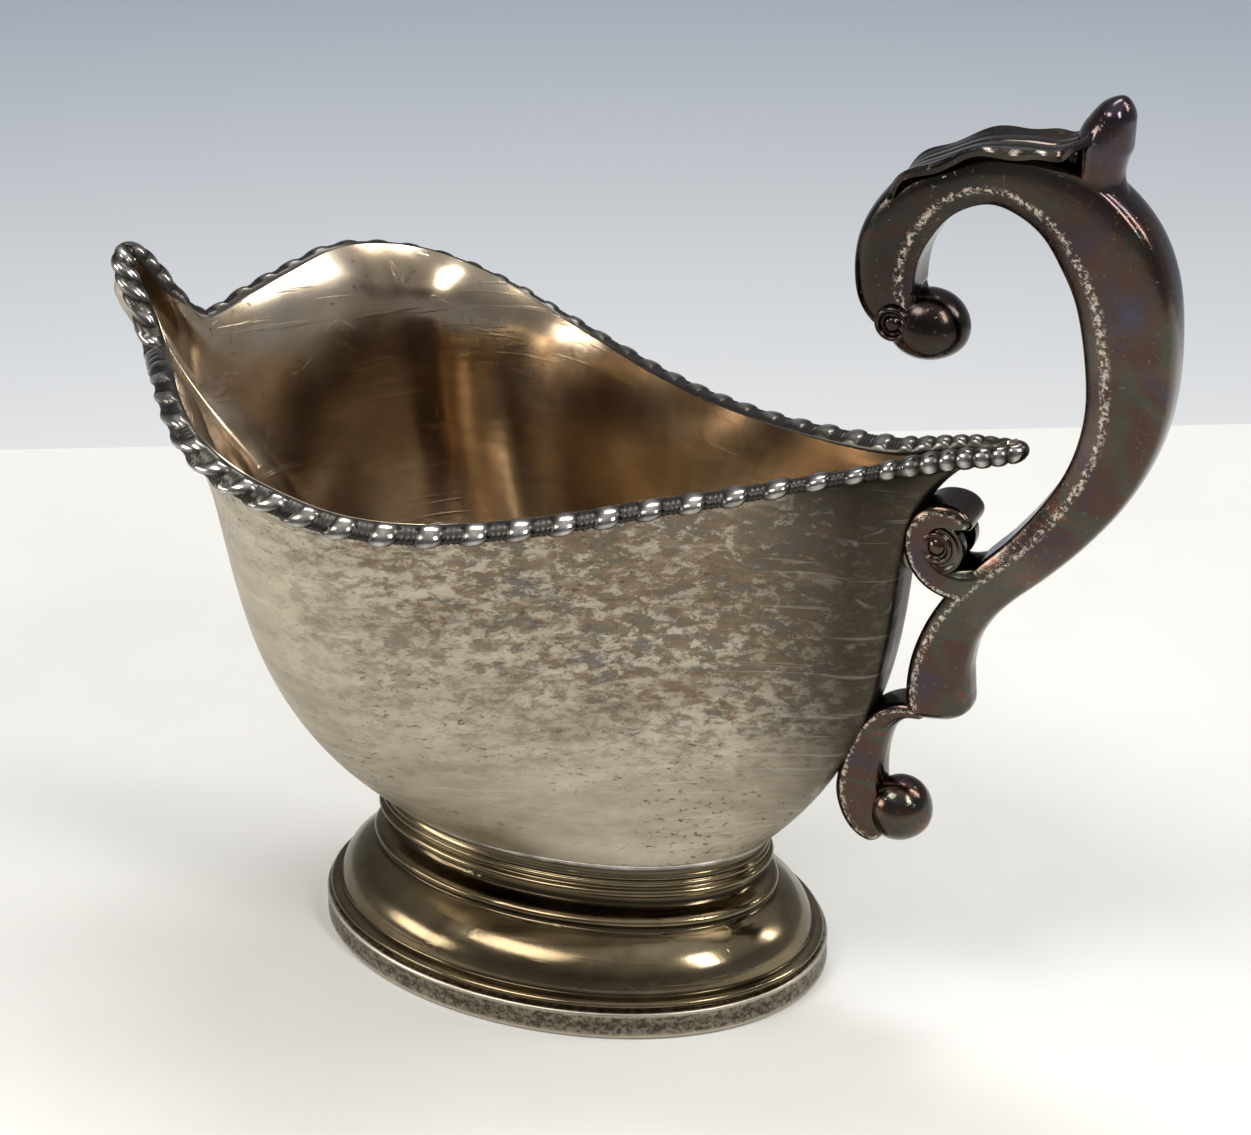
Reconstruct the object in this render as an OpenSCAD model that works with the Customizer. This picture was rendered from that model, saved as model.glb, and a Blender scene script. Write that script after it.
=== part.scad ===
// Silver sauce boat: oval bowl with a pinched pouring lip, a gadroon border on its rim,
// a stepped oval foot and a cast flying-scroll handle, all soldered together.
// Frame: X runs from the spout (-X) to the handle (+X), Z is up, and the origin is the
// middle of the ring that the foot stands on. Millimetres.

/* [Foot] */
// Length of the foot along X
foot_len = 92; // [86:1:98]
// Width of the foot along Y
foot_wid = 66.8; // [62:0.2:70]
// Height of the straight skirt round the foot
skirt_h = 5; // [4:0.5:6]
// Height at which the bowl sits on the foot
bowl_base_z = 26.5; // [26:0.5:27]

/* [Bowl] */
// Thickness of the bowl's sheet
wall = 1.3; // [1:0.1:1.8]
// How strongly the lower wall swells outward
belly = 3.4; // [2.8:0.1:4]
// How far the pouring lip's underside stands out below its tip
lip_bulge = 4.2; // [3.4:0.1:4.6]

/* [Border] */
// Gadroon lobes along each side of the rim
lobes = 46; // [30:1:50]
// Half the border's height across its lobes
border_half_h = 1.6; // [1.4:0.1:1.9]
// Half the border's thickness
border_half_t = 2.3; // [1.9:0.1:2.6]

/* [Handle] */
// Half the handle's greatest thickness across the boat
handle_half_y = 5.6; // [5:0.1:6]
// Radius of the round eyes in the handle's volutes
eye_r = 2.4; // [2:0.1:2.8]

/* [Hidden] */

around = 42;          // steps along one side of the bowl, from the handle end to the spout
levels = 15;          // rings up the wall
half_len = foot_len / 2;
half_wid = foot_wid / 2;
neck_len = 36;        // half length of the oval where the bowl meets the foot
neck_wid = 21.4;      // half width of the same oval
lobe_steps = 3;       // rings in each lobe
silver = [0.62, 0.59, 0.54];
dark_silver = [0.36, 0.33, 0.34];
foot_silver = [0.50, 0.46, 0.38];

// One side of the rim's edge from the handle end to the spout's tip: x, y, z.
rim_points = [
  [76.4, 0, 107.3], [71.5, 1.5, 105.9], [64, 2.4, 103.6], [56, 4.0, 101.2], [48, 6.9, 99.6],
  [40, 10.5, 98.2], [31, 15.1, 96.7], [21.5, 20.2, 95.5], [10.5, 27.2, 94.2], [-0.5, 34.2, 93.7],
  [-11, 40.4, 94.2], [-21, 44.4, 95.9], [-30.5, 46.2, 98.9], [-39, 45.9, 101.9],
  [-46.5, 42.8, 104.9], [-53, 36.7, 107.4], [-58.5, 29.3, 108.4], [-63.5, 21.7, 106.3],
  [-68, 14.7, 103.8], [-72.5, 7.8, 101.4], [-76.6, 4.2, 106.2], [-79.4, 2.8, 110.8],
  [-81, 1.4, 113.8], [-81.4, 0, 114.6]];

// The bowl's wall below the flare, matched point by point to the rim: x, y.
wall_points = [
  [59.4, 0], [59.2, 3.0], [58.2, 5.4], [54.5, 7.7], [47.5, 9.7],
  [39.5, 12.0], [30.5, 15.2], [21, 19.4], [10.4, 25.4], [0, 31.4],
  [-10, 36.6], [-19, 40.3], [-27.5, 41.8], [-35, 41.0], [-41, 38.6],
  [-46, 34.4], [-50, 29.2], [-53.5, 23.2], [-56.5, 17],
  [-59, 11.2], [-60.6, 7], [-61.6, 4.2], [-62.2, 2], [-62.5, 0]];

// ---- curves ----
function clampi(i, n) = max(0, min(n - 1, i));
function spline_part(a, b, c, d, t) =
  0.5 * (2 * b + (c - a) * t + (2 * a - 5 * b + 4 * c - d) * t * t
         + (3 * b - a - 3 * c + d) * t * t * t);
function mirror_y(p, sign) = len(p) == undef ? p : [for (i = [0:len(p) - 1]) i == 1 ? sign * p[i] : p[i]];
// Smooth curve through a list at parameter u in 0..1; sign -1 mirrors the points before
// the first and after the last, so that the two sides of the boat join without a crease.
function curve(pts, u, sign = 1) =
  let (n = len(pts), s = u * (n - 1), i = min(floor(s), n - 2), t = s - i,
       a = i == 0 ? (sign < 0 ? mirror_y(pts[1], -1) : 2 * pts[0] - pts[1]) : pts[i - 1],
       d = i == n - 2 ? (sign < 0 ? mirror_y(pts[n - 2], -1) : 2 * pts[n - 1] - pts[n - 2])
                      : pts[i + 2])
  spline_part(a, pts[i], pts[i + 1], d, t);
function unit(v) = v / norm(v);
function smooth_step(x) = let (c = max(0, min(1, x))) c * c * (3 - 2 * c);
function mix(a, b, t) = a + (b - a) * t;

// ---- bowl surface ----
// The point on the outer wall at u along one side and s up it, from 0 at the foot to 1.
function wall_point(u, s) =
  let (r = curve(rim_points, u, -1), w = curve(wall_points, u, -1),
       angle = atan2(w[1] / neck_wid, w[0] / neck_len),
       base = [neck_len * cos(angle), neck_wid * sin(angle)],
       swell = 1 - pow(1 - s, belly),
       spout = smooth_step((u - 0.62) / 0.34),
       flare = mix(pow(s, 11), smooth_step((s - 0.42) / 0.53), spout),
       lip = lip_bulge * smooth_step((u - 0.84) / 0.14) * exp(-pow((s - 0.93) / 0.055, 2)),
       xy = base + (w - base) * swell + ([r[0], r[1]] - w) * flare)
  [xy[0] - lip, xy[1], mix(bowl_base_z, r[2], s)];
function wall_normal(u, s) =
  let (e = 0.004,
       du = wall_point(min(u + e, 1), s) - wall_point(max(u - e, 0), s),
       ds = wall_point(u, min(s + e, 1)) - wall_point(u, max(s - e, 0)))
  unit(cross(du, ds));
// Both sides as one closed loop of points: index k runs from the handle end round the
// far side to the spout and back along the near side.
function loop_u(k) = k <= around ? k / around : 2 - k / around;
function loop_sign(k) = k <= around ? 1 : -1;
function outer_at(k, s) = mirror_y(wall_point(loop_u(k), s), loop_sign(k));
function inner_at(k, s) =
  let (u = loop_u(k), e = (u == 0 || u == 1) ? [1, 0, 1] : [1, 1, 1],
       n = wall_normal(u, s), m = unit([n[0] * e[0], n[1] * e[1], n[2] * e[2]]),
       out = wall_point(u, s),
       p = out - wall * m)
  mirror_y([p[0], max(p[1], 0.2 * out[1]), p[2]], loop_sign(k));

// Rings of m points joined into one closed skin, with flat caps at both ends.
module skin(rings) {
  count = len(rings);
  m = len(rings[0]);
  points = [for (r = rings) for (p = r) p];
  sides = [for (i = [0:count - 2]) for (j = [0:m - 1])
    let (a = i * m + j, b = i * m + (j + 1) % m, c = a + m, d = b + m)
      each [[a, d, b], [a, c, d]]];
  bottom = [[for (j = [0:m - 1]) j]];
  top = [[for (j = [m - 1:-1:0]) (count - 1) * m + j]];
  polyhedron(points = points, faces = concat(sides, bottom, top), convexity = 10);
}

// Height up the wall of ring i, with the rings closest at the foot.
function level_s(i) = pow(i / levels, 1.25);
// The flat floor inside the bowl.
function bowl_floor(m) =
  [for (k = [0:m - 1]) let (p = outer_at(k, 0)) [p[0] * 0.97, p[1] * 0.95, bowl_base_z + wall]];

module bowl() {
  color(silver) {
    m = 2 * around;
    outer = [for (i = [0:levels]) [for (k = [0:m - 1]) outer_at(k, level_s(i))]];
    inner = [for (i = [levels:-1:1]) [for (k = [0:m - 1]) inner_at(k, level_s(i))]];
    skin(concat(outer, inner, [bowl_floor(m)]));
  }
}

// ---- gadroon border ----
// A rope of slanted lobes along the outside of the rim, on one side of the boat.
module border(side) {
  rings = lobes * lobe_steps;
  sides = 8;
  color(dark_silver)
    skin([for (i = [0:rings]) let (
      u = mix(0.002, 0.998, i / rings),
      n = wall_normal(u, 0.985),
      up = unit(wall_point(u, 1) - wall_point(u, 0.96)),
      p = wall_point(u, 1) + n * 0.8 - up * 0.2,
      small = (0.66 + 0.34 * smooth_step(u / 0.17)) * (0.84 + 0.16 * smooth_step((1 - u) / 0.06)),
      swell = 0.86 + 0.14 * pow(sin(180 * i / lobe_steps), 2))
      [for (j = [0:sides - 1]) let (
        a = 360 * (side > 0 ? sides - j : j) / sides,
        q = p + up * border_half_h * small * sin(a) + n * border_half_t * small * swell * cos(a))
        mirror_y(q, side)]]);
}
module border_left() { border(1); }
module border_right() { border(-1); }

// ---- foot ----
// An oval whose half length is a; feet keep nearly the same width of moulding all round.
function oval_b(a) = half_wid - (half_len - a) * (half_wid - neck_wid) / (half_len - neck_len);
function oval(a, z, m) = [for (k = [0:m - 1]) [a * cos(360 * k / m), oval_b(a) * sin(360 * k / m), z]];

module foot_rim() {
  m = 72;
  inner = half_len - 2.2;
  color(foot_silver)
    difference() {
      skin([oval(half_len, 0, m), oval(half_len, skirt_h, m)]);
      skin([oval(inner, -1, m), oval(inner, skirt_h + 1, m)]);
    }
}
module foot_pedestal() {
  m = 56;
  // Bead, long dome, step ring and neck cove: half length and height.
  outside = [[45.4, skirt_h - 0.8], [45.6, 5.6], [45.0, 6.5], [43.9, 6.9], [43.3, 7.4], [42.9, 9],
             [41.8, 11], [39.8, 13], [37.4, 14.6], [36.9, 15.6], [37.1, 16.6], [36.5, 17.4],
             [34.9, 18], [34.1, 19.2], [34.3, 20.6]];
  inside = [[32.9, 20.6], [32.8, 18.6], [33.4, 17], [35.4, 15.6], [36, 14.2], [38.8, 12], [41.2, 9.4],
            [41.9, 7], [43.4, 5.6], [43.6, skirt_h - 0.8]];
  color(foot_silver)
    difference() {
      skin([for (p = outside) oval(p[0], p[1], m)]);
      skin(concat([oval(43.6, skirt_h - 1.8, m)],
                  [for (i = [len(inside) - 1:-1:1]) oval(inside[i][0], inside[i][1], m)],
                  [oval(32.9, 21.6, m)]));
    }
}
module foot_collar() {
  m = 56;
  color(foot_silver)
    difference() {
      skin([oval(34.4, 20.4, m), oval(35.9, 21.2, m), oval(36.3, 22.4, m), oval(35.5, 23.4, m),
            oval(35.2, 24.8, m), oval(35.6, bowl_base_z, m)]);
      skin([oval(32.9, 19.4, m), oval(32.9, bowl_base_z + 1, m)]);
    }
}
module solder_foot() {
  m = 48;
  color(silver)
    difference() {
      skin([oval(34.8, bowl_base_z - 1.2, m), oval(36.2, bowl_base_z - 0.4, m),
            oval(36.9, bowl_base_z + 0.5, m), oval(36.4, bowl_base_z + 1, m)]);
      skin([oval(33.6, bowl_base_z - 3, m), oval(33.6, bowl_base_z + 3, m)]);
    }
}

// ---- handle ----
// A cast scroll: each station is x, z, half width in the handle's plane and the half
// thickness across the boat of a handle that is 5.6 mm to each side.
module scroll(stations, steps = 3, sides = 8) {
  n = (len(stations) - 1) * steps;
  thick = handle_half_y / 5.6;
  skin([for (i = [0:n]) let (
    u = i / n,
    c = curve(stations, u),
    ahead = curve(stations, min(1, u + 0.01)),
    behind = curve(stations, max(0, u - 0.01)),
    t = unit([ahead[0] - behind[0], 0, ahead[1] - behind[1]]),
    across = [-t[2], 0, t[0]])
    [for (j = [0:sides - 1]) let (a = 360 * (j + 0.5) / sides)
      [c[0], 0, c[1]] + across * c[2] * 1.04 * cos(a) - [0, c[3] * thick * 1.04 * sin(a), 0]]]);
}
main_stations = [
  [56.5, 126.5, 4.2, 4.2], [54.4, 131, 5.2, 4.8], [54.9, 138.4, 5.6, 5], [58.6, 145, 5.2, 5],
  [64, 149.3, 4.6, 5], [70.4, 151.6, 4.6, 5], [77, 151, 5.4, 5.2], [83.4, 148, 6.6, 5.4],
  [88.4, 142.8, 7.5, 5.6], [91.6, 136.4, 7.6, 5.6], [93.2, 128, 7.2, 5.6], [93.6, 118.4, 6.6, 5.5],
  [92.2, 110.4, 6.0, 5.4], [89.2, 103, 5.4, 5.2], [84.6, 95.6, 4.9, 5], [79.2, 89, 4.5, 4.8],
  [74.4, 84, 4.2, 4.7], [70.6, 80.6, 4.2, 4.6]];
volute_stations = [
  [78.6, 88.2, 2.5, 4.6], [73.8, 85.0, 2.9, 4.6], [69.2, 83.4, 3.1, 4.6], [65.0, 84.3, 3.0, 4.6],
  [62.4, 87.2, 2.8, 4.6], [62.0, 90.8, 2.8, 4.6], [64.2, 93.6, 2.7, 4.6], [67.4, 93.8, 2.6, 4.5],
  [68.7, 91.6, 2.4, 4.4]];
s_stations = [
  [72.4, 81, 3.6, 4.4], [69.6, 77.4, 4.4, 4.6], [66.9, 72.6, 4.5, 4.6], [65.6, 67.4, 4.8, 4.6],
  [65.8, 62.6, 5.2, 4.6], [66.2, 59.4, 4.9, 4.4], [66.4, 57, 3.2, 3.6]];
lower_stations = [
  [63.6, 58, 1.6, 3.6], [59.6, 57.6, 1.8, 3.8], [56.2, 55, 2.5, 4], [54.2, 50.6, 3.0, 4.2],
  [53.2, 45.6, 3.5, 4.3], [53.2, 41, 3.9, 4.4], [55.2, 37, 4.0, 4.4], [58.6, 35.6, 3.4, 4.2]];
leaf_stations = [
  [55.4, 147.4, 0.9, 3], [59.4, 151.2, 1.5, 5], [64.6, 154.6, 1.8, 5.6], [70.6, 156.6, 1.9, 5.8],
  [77, 157, 2.2, 5.8], [82, 157.2, 2.6, 5.4], [85, 158.4, 2.8, 4.8]];
horn_stations = [
  [85.6, 149.2, 6.8, 5.1], [86.1, 152.4, 4.4, 4.7], [86.5, 156.0, 3.8, 4.6], [86.9, 158.8, 4.2, 4.8],
  [87.7, 161.4, 3.6, 4.4], [88.6, 163.8, 2.7, 3.5], [89.3, 165.8, 1.5, 2.2]];

module handle_main_scroll() {
  color(dark_silver) scroll(main_stations);
}
module handle_upper_volute() {
  color(dark_silver) scroll(volute_stations);
}
module handle_s_scroll() {
  color(dark_silver) scroll(s_stations);
}
module handle_lower_scroll() {
  color(dark_silver) scroll(lower_stations);
}
module handle_leaf() {
  color(dark_silver) scroll(leaf_stations);
}
module handle_thumb_horn() {
  color(dark_silver) scroll(horn_stations);
}
// A ball on the handle's plane that is half_y to each side.
module ball(x, z, r, half_y) {
  color(dark_silver)
    translate([x, 0, z])
      scale([1, half_y / r, 1])
        sphere(r = r, $fn = 40);
}
module handle_top_knob() {
  ball(61, 125.4, 5.4, 5.4);
}
module handle_lower_ball() {
  ball(59.4, 38.2, 5.6, 5.2);
}
// A round disc across the handle's plane.
module disc(x, y, z, r, h) {
  translate([x, y, z])
    rotate([90, 0, 0])
      cylinder(r = r, h = h, center = true, $fn = 44);
}
// A pair of round eyes, one on each face of a volute.
module eyes(x, z, reach) {
  color(silver)
    for (side = [-1, 1])
      disc(x, side * reach, z, eye_r, 1.2);
}
module top_rosettes() {
  eyes(56.4, 126.4, 4.2);
}
module volute_rosettes() {
  eyes(64.8, 89.2, 4.2);
  color(dark_silver) disc(64.8, 0, 89.2, 4.2, 7.8);
}
// A fillet of solder, tall and narrow, where a scroll touches the bowl.
module fillet(x, z, slim, tall) {
  color(silver)
    translate([x, 0, z])
      scale([slim, 1, tall])
        sphere(r = 3.6, $fn = 32);
}
module solder_upper() {
  fillet(59.8, 88, 0.9, 1.5);
}
module solder_lower() {
  fillet(51.4, 46.6, 0.8, 1.6);
}

bowl();
border_left();
border_right();
foot_collar();
foot_pedestal();
foot_rim();
handle_main_scroll();
handle_top_knob();
handle_leaf();
handle_thumb_horn();
handle_upper_volute();
handle_s_scroll();
handle_lower_scroll();
handle_lower_ball();
top_rosettes();
volute_rosettes();
solder_upper();
solder_lower();
solder_foot();
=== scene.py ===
"""Looks of a tarnished silver sauce boat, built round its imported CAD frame."""
import math
import bpy
import numpy as np
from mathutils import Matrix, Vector


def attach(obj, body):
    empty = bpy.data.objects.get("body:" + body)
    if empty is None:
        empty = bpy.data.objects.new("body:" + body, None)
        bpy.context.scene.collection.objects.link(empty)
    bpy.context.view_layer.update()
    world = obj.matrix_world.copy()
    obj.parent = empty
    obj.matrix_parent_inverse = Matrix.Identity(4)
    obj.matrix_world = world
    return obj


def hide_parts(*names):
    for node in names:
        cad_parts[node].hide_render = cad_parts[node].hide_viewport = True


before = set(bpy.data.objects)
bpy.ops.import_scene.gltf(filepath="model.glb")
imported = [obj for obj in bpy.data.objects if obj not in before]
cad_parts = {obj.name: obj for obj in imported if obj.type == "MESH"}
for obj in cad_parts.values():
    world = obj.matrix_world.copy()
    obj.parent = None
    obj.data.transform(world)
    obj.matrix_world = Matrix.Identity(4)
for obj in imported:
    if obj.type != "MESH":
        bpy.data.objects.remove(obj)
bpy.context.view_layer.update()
MM = 0.001

# ---------------------------------------------------------------- boat's shape, mm
HALF_LEN, HALF_WID = 46.0, 33.4
NECK_LEN, NECK_WID = 36.0, 21.4
BASE_Z = 26.5
WALL = 1.3
BELLY = 3.4
LIP_BULGE = 4.2
# One side of the rim's edge from the handle end to the spout's tip: x, y, z.
RIM = np.array([
    (76.4, 0, 107.3), (71.5, 1.5, 105.9), (64, 2.4, 103.6), (56, 4.0, 101.2), (48, 6.9, 99.6),
    (40, 10.5, 98.2), (31, 15.1, 96.7), (21.5, 20.2, 95.5), (10.5, 27.2, 94.2), (-0.5, 34.2, 93.7),
    (-11, 40.4, 94.2), (-21, 44.4, 95.9), (-30.5, 46.2, 98.9), (-39, 45.9, 101.9), (-46.5, 42.8, 104.9),
    (-53, 36.7, 107.4), (-58.5, 29.3, 108.4), (-63.5, 21.7, 106.3), (-68, 14.7, 103.8),
    (-72.5, 7.8, 101.4), (-76.6, 4.2, 106.2), (-79.4, 2.8, 110.8), (-81, 1.4, 113.8),
    (-81.4, 0, 114.6)], float)
# The wall below the flare, point by point with the rim: x, y.
WALL_XY = np.array([
    (59.4, 0), (59.2, 3.0), (58.2, 5.4), (54.5, 7.7), (47.5, 9.7), (39.5, 12.0), (30.5, 15.2),
    (21, 19.4), (10.4, 25.4), (0, 31.4), (-10, 36.6), (-19, 40.3), (-27.5, 41.8), (-35, 41.0),
    (-41, 38.6), (-46, 34.4), (-50, 29.2), (-53.5, 23.2), (-56.5, 17), (-59, 11.2), (-60.6, 7),
    (-61.6, 4.2), (-62.2, 2), (-62.5, 0)], float)


def curve(pts, u, mirrored=False):
    """Catmull-Rom through pts at u in 0..1; mirrored closes both ends across the XZ plane."""
    u = np.atleast_1d(np.asarray(u, float))
    if mirrored:
        flip = np.ones(pts.shape[1])
        flip[1] = -1
        ext = np.vstack([pts[1] * flip, pts, pts[-2] * flip])
    else:
        ext = np.vstack([2 * pts[0] - pts[1], pts, 2 * pts[-1] - pts[-2]])
    n = len(pts) - 1
    s = np.clip(u, 0, 1) * n
    i = np.minimum(s.astype(int), n - 1)
    t = (s - i)[:, None]
    a, b, c, d = ext[i], ext[i + 1], ext[i + 2], ext[i + 3]
    return 0.5 * (2 * b + (c - a) * t + (2 * a - 5 * b + 4 * c - d) * t ** 2
                  + (3 * b - a - 3 * c + d) * t ** 3)


def smooth(x):
    c = np.clip(x, 0, 1)
    return c * c * (3 - 2 * c)


def unit(v):
    return v / np.maximum(np.linalg.norm(v, axis=-1, keepdims=True), 1e-12)


def wall_point(u, s):
    """The bowl's outer surface: u round one side (0 handle end, 1 spout), s up it (0 to 1)."""
    u, s = np.broadcast_arrays(np.asarray(u, float), np.asarray(s, float))
    shape = u.shape
    u, s = u.ravel(), s.ravel()
    r = curve(RIM, u, True)
    w = curve(WALL_XY, u, True)
    ang = np.arctan2(w[:, 1] / NECK_WID, w[:, 0] / NECK_LEN)
    base = np.stack([NECK_LEN * np.cos(ang), NECK_WID * np.sin(ang)], 1)
    swell = 1 - (1 - s) ** BELLY
    spout = smooth((u - 0.62) / 0.34)
    flare = s ** 11 * (1 - spout) + smooth((s - 0.42) / 0.53) * spout
    lip = LIP_BULGE * smooth((u - 0.84) / 0.14) * np.exp(-((s - 0.93) / 0.055) ** 2)
    xy = base + (w - base) * swell[:, None] + (r[:, :2] - w) * flare[:, None]
    xy[:, 0] -= lip
    z = BASE_Z + (r[:, 2] - BASE_Z) * s
    return np.column_stack([xy, z]).reshape(shape + (3,))


def wall_normal(u, s):
    e = 0.004
    du = wall_point(np.minimum(u + e, 1), s) - wall_point(np.maximum(u - e, 0), s)
    ds = wall_point(u, np.minimum(s + e, 1)) - wall_point(u, np.maximum(s - e, 0))
    return unit(np.cross(du, ds))


# ---------------------------------------------------------------- mesh helpers
def make(name, verts, faces, smooth_deg=None, attrs=None):
    """An object from points in mm, riding on the body, with float attributes on its points."""
    mesh = bpy.data.meshes.new(name)
    mesh.from_pydata([tuple(v) for v in np.asarray(verts, float) * MM], [], faces)
    mesh.validate()
    for key, values in (attrs or {}).items():
        layer = mesh.attributes.new(key, "FLOAT", "POINT")
        layer.data.foreach_set("value", np.asarray(values, np.float32).ravel())
    mesh.polygons.foreach_set("use_smooth", [True] * len(mesh.polygons))
    if smooth_deg:
        mesh.set_sharp_from_angle(angle=math.radians(smooth_deg))
    obj = bpy.data.objects.new(name, mesh)
    bpy.context.scene.collection.objects.link(obj)
    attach(obj, "root")
    return obj


def ring_faces(count, m, caps=True):
    """Quads between rings of m points, anticlockwise seen from outside, and both end caps."""
    faces = []
    for i in range(count - 1):
        for j in range(m):
            a, b = i * m + j, i * m + (j + 1) % m
            faces.append((a, b, b + m, a + m))
    if caps:
        faces.append(tuple(range(m - 1, -1, -1)))
        faces.append(tuple((count - 1) * m + j for j in range(m)))
    return faces


# ---------------------------------------------------------------- bowl
AROUND = 230
LEVELS = 64


def build_bowl():
    """The bowl as one closed skin, and for each face 0 outside or 1 inside."""
    k = np.arange(2 * AROUND)
    u = np.where(k <= AROUND, k / AROUND, 2 - k / AROUND)
    sign = np.where(k <= AROUND, 1.0, -1.0)
    flip = np.column_stack([np.ones_like(sign), sign, np.ones_like(sign)])
    levels = (np.arange(LEVELS + 1) / LEVELS) ** 1.15
    rings = [wall_point(u, s) * flip for s in levels]
    for s in levels[:0:-1]:
        n = wall_normal(u, np.full_like(u, s))
        ends = (k == 0) | (k == AROUND)
        n[ends, 1] = 0
        out = wall_point(u, s)
        inn = out - WALL * unit(n)
        inn[:, 1] = np.maximum(inn[:, 1], 0.2 * out[:, 1])
        rings.append(inn * flip)
    floor = rings[0] * np.array([0.97, 0.95, 1])
    floor[:, 2] = BASE_Z + WALL
    rings.append(floor)
    for q in (0.72, 0.42, 0.15):
        rings.append(floor * np.array([q, q, 1]))
    m = 2 * AROUND
    faces = ring_faces(len(rings), m)
    obj = make("bowl_shell", np.vstack(rings), faces, 50)
    inside_from = (LEVELS + 1) * m
    idx = np.array([0 if min(f) < inside_from - m else 1 for f in faces], np.int32)
    return obj, idx


# ---------------------------------------------------------------- gadroon border
BORDER_R = 1.95       # radius of the border's strip before its relief
BORDER_OUT = 0.8      # how far its centre stands outside the rim's edge
BORDER_DROP = 0.25    # and below it
# Length of one lobe in mm against u along the side.
PITCH = np.array([(0, 2.2), (0.06, 2.6), (0.105, 3.3), (0.135, 5.4), (0.2, 6.6), (0.4, 7.0),
                  (0.55, 6.6), (0.66, 5.8), (0.78, 5.0), (0.88, 4.0), (0.95, 2.8), (1, 2.0)])


def lobe_phase(count):
    """Points along the rim at even steps of the lobes' phase."""
    u = np.linspace(0.0015, 0.9985, 6000)
    p = wall_point(u, 1.0)
    step = np.linalg.norm(np.diff(p, axis=0), axis=1)
    pitch = np.interp(u, PITCH[:, 0], PITCH[:, 1])
    phase = np.concatenate([[0], np.cumsum(step / (0.5 * (pitch[1:] + pitch[:-1])))])
    total = math.floor(phase[-1])
    phase *= total / phase[-1]
    steps = np.linspace(0, total, total * count + 1)
    at = np.interp(steps, phase, u)
    return at, steps, np.interp(at, PITCH[:, 0], PITCH[:, 1])


def relief(phase, ribs_only):
    """Height of the gadroon pattern: a plump lobe followed by a cluster of thin ribs."""
    p = phase % 1.0
    egg = np.sqrt(np.clip(1 - ((p - 0.31) / 0.31) ** 2, 0, 1)) ** 0.8
    q = (p - 0.62) / 0.38
    ribs = 0.30 + 0.24 * np.abs(np.sin(3 * np.pi * np.clip(q, 0, 1))) ** 0.8
    mixed = np.where(p < 0.62, egg, ribs)
    plain = np.abs(np.sin(np.pi * p)) ** 0.6
    return mixed * (1 - ribs_only) + plain * ribs_only


def build_border(side, name):
    """The gadroon strip along one side of the rim: side 1 is +Y and -1 is -Y."""
    sections = 30
    u, phase, pitch = lobe_phase(26)
    p = wall_point(u, 1.0)
    tangent = unit(np.gradient(p, axis=0))
    n = wall_normal(u, np.full_like(u, 0.985))
    up = unit(np.cross(tangent, n))
    up *= np.sign(up[:, 2:3])
    n = unit(np.cross(up, tangent))
    n *= np.sign((n * wall_normal(u, np.full_like(u, 0.985))).sum(1, keepdims=True))
    small = (0.76 + 0.24 * smooth(u / 0.17)) * (0.84 + 0.16 * smooth((1 - u) / 0.06))
    big = BORDER_R * small
    tall = 0.64 + 0.34 * np.maximum(1 - smooth((u - 0.08) / 0.08), smooth((u - 0.58) / 0.2))
    ribs_only = 1 - smooth((pitch - 3.3) / 1.8)
    slant = 0.16 + 1.0 * smooth((u - 0.44) / 0.16)
    rings, shade = [], []
    for j in range(sections):
        th = 2 * np.pi * j / sections
        # th 0 faces out along the wall's normal and 90 degrees faces up
        turn = smooth((math.degrees((th + np.pi / 2) % (2 * np.pi)) - 20) / 190)
        from_below = math.degrees((th + np.pi * 0.62) % (2 * np.pi))
        lobed = smooth((from_below - 8) / 40) * (1 - smooth((from_below - 215) / 45))
        e = relief(phase + slant * turn, ribs_only)
        depth = np.clip(0.19 * pitch, 0.42, 1.25)
        r = big + lobed * depth * (e - 0.62)
        rise = r * tall * np.sin(th) - BORDER_DROP
        reach = r * 1.05 * np.cos(th) + BORDER_OUT
        rings.append(p + up * rise[:, None] + n * reach[:, None])
        # the lobes' relief height, from which the gadroon material paints a highlight on the crowns
        shade.append(e * lobed + 0.55 * (1 - lobed))
    verts = np.stack(rings, 1)
    tone = np.stack(shade, 1)
    if side < 0:
        verts = verts[:, ::-1] * np.array([1, -1, 1])
        tone = tone[:, ::-1]
    count = len(u)
    faces = ring_faces(count, sections)
    probe = verts.reshape(-1, 3)
    f = faces[sections * (count // 2)]
    nrm = np.cross(probe[f[1]] - probe[f[0]], probe[f[2]] - probe[f[0]])
    mid = p[count // 2] * np.array([1, side, 1])
    if nrm @ (probe[f[0]] - mid) < 0:
        faces = [t[::-1] for t in faces]
    return make(name, probe, faces, 60, {"groove": tone})


# ---------------------------------------------------------------- foot
def oval_b(a):
    return HALF_WID - (HALF_LEN - a) * (HALF_WID - NECK_WID) / (HALF_LEN - NECK_LEN)


def dense(profile, per=6):
    pts = np.array(profile, float)
    return curve(pts, np.linspace(0, 1, (len(pts) - 1) * per + 1))


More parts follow.
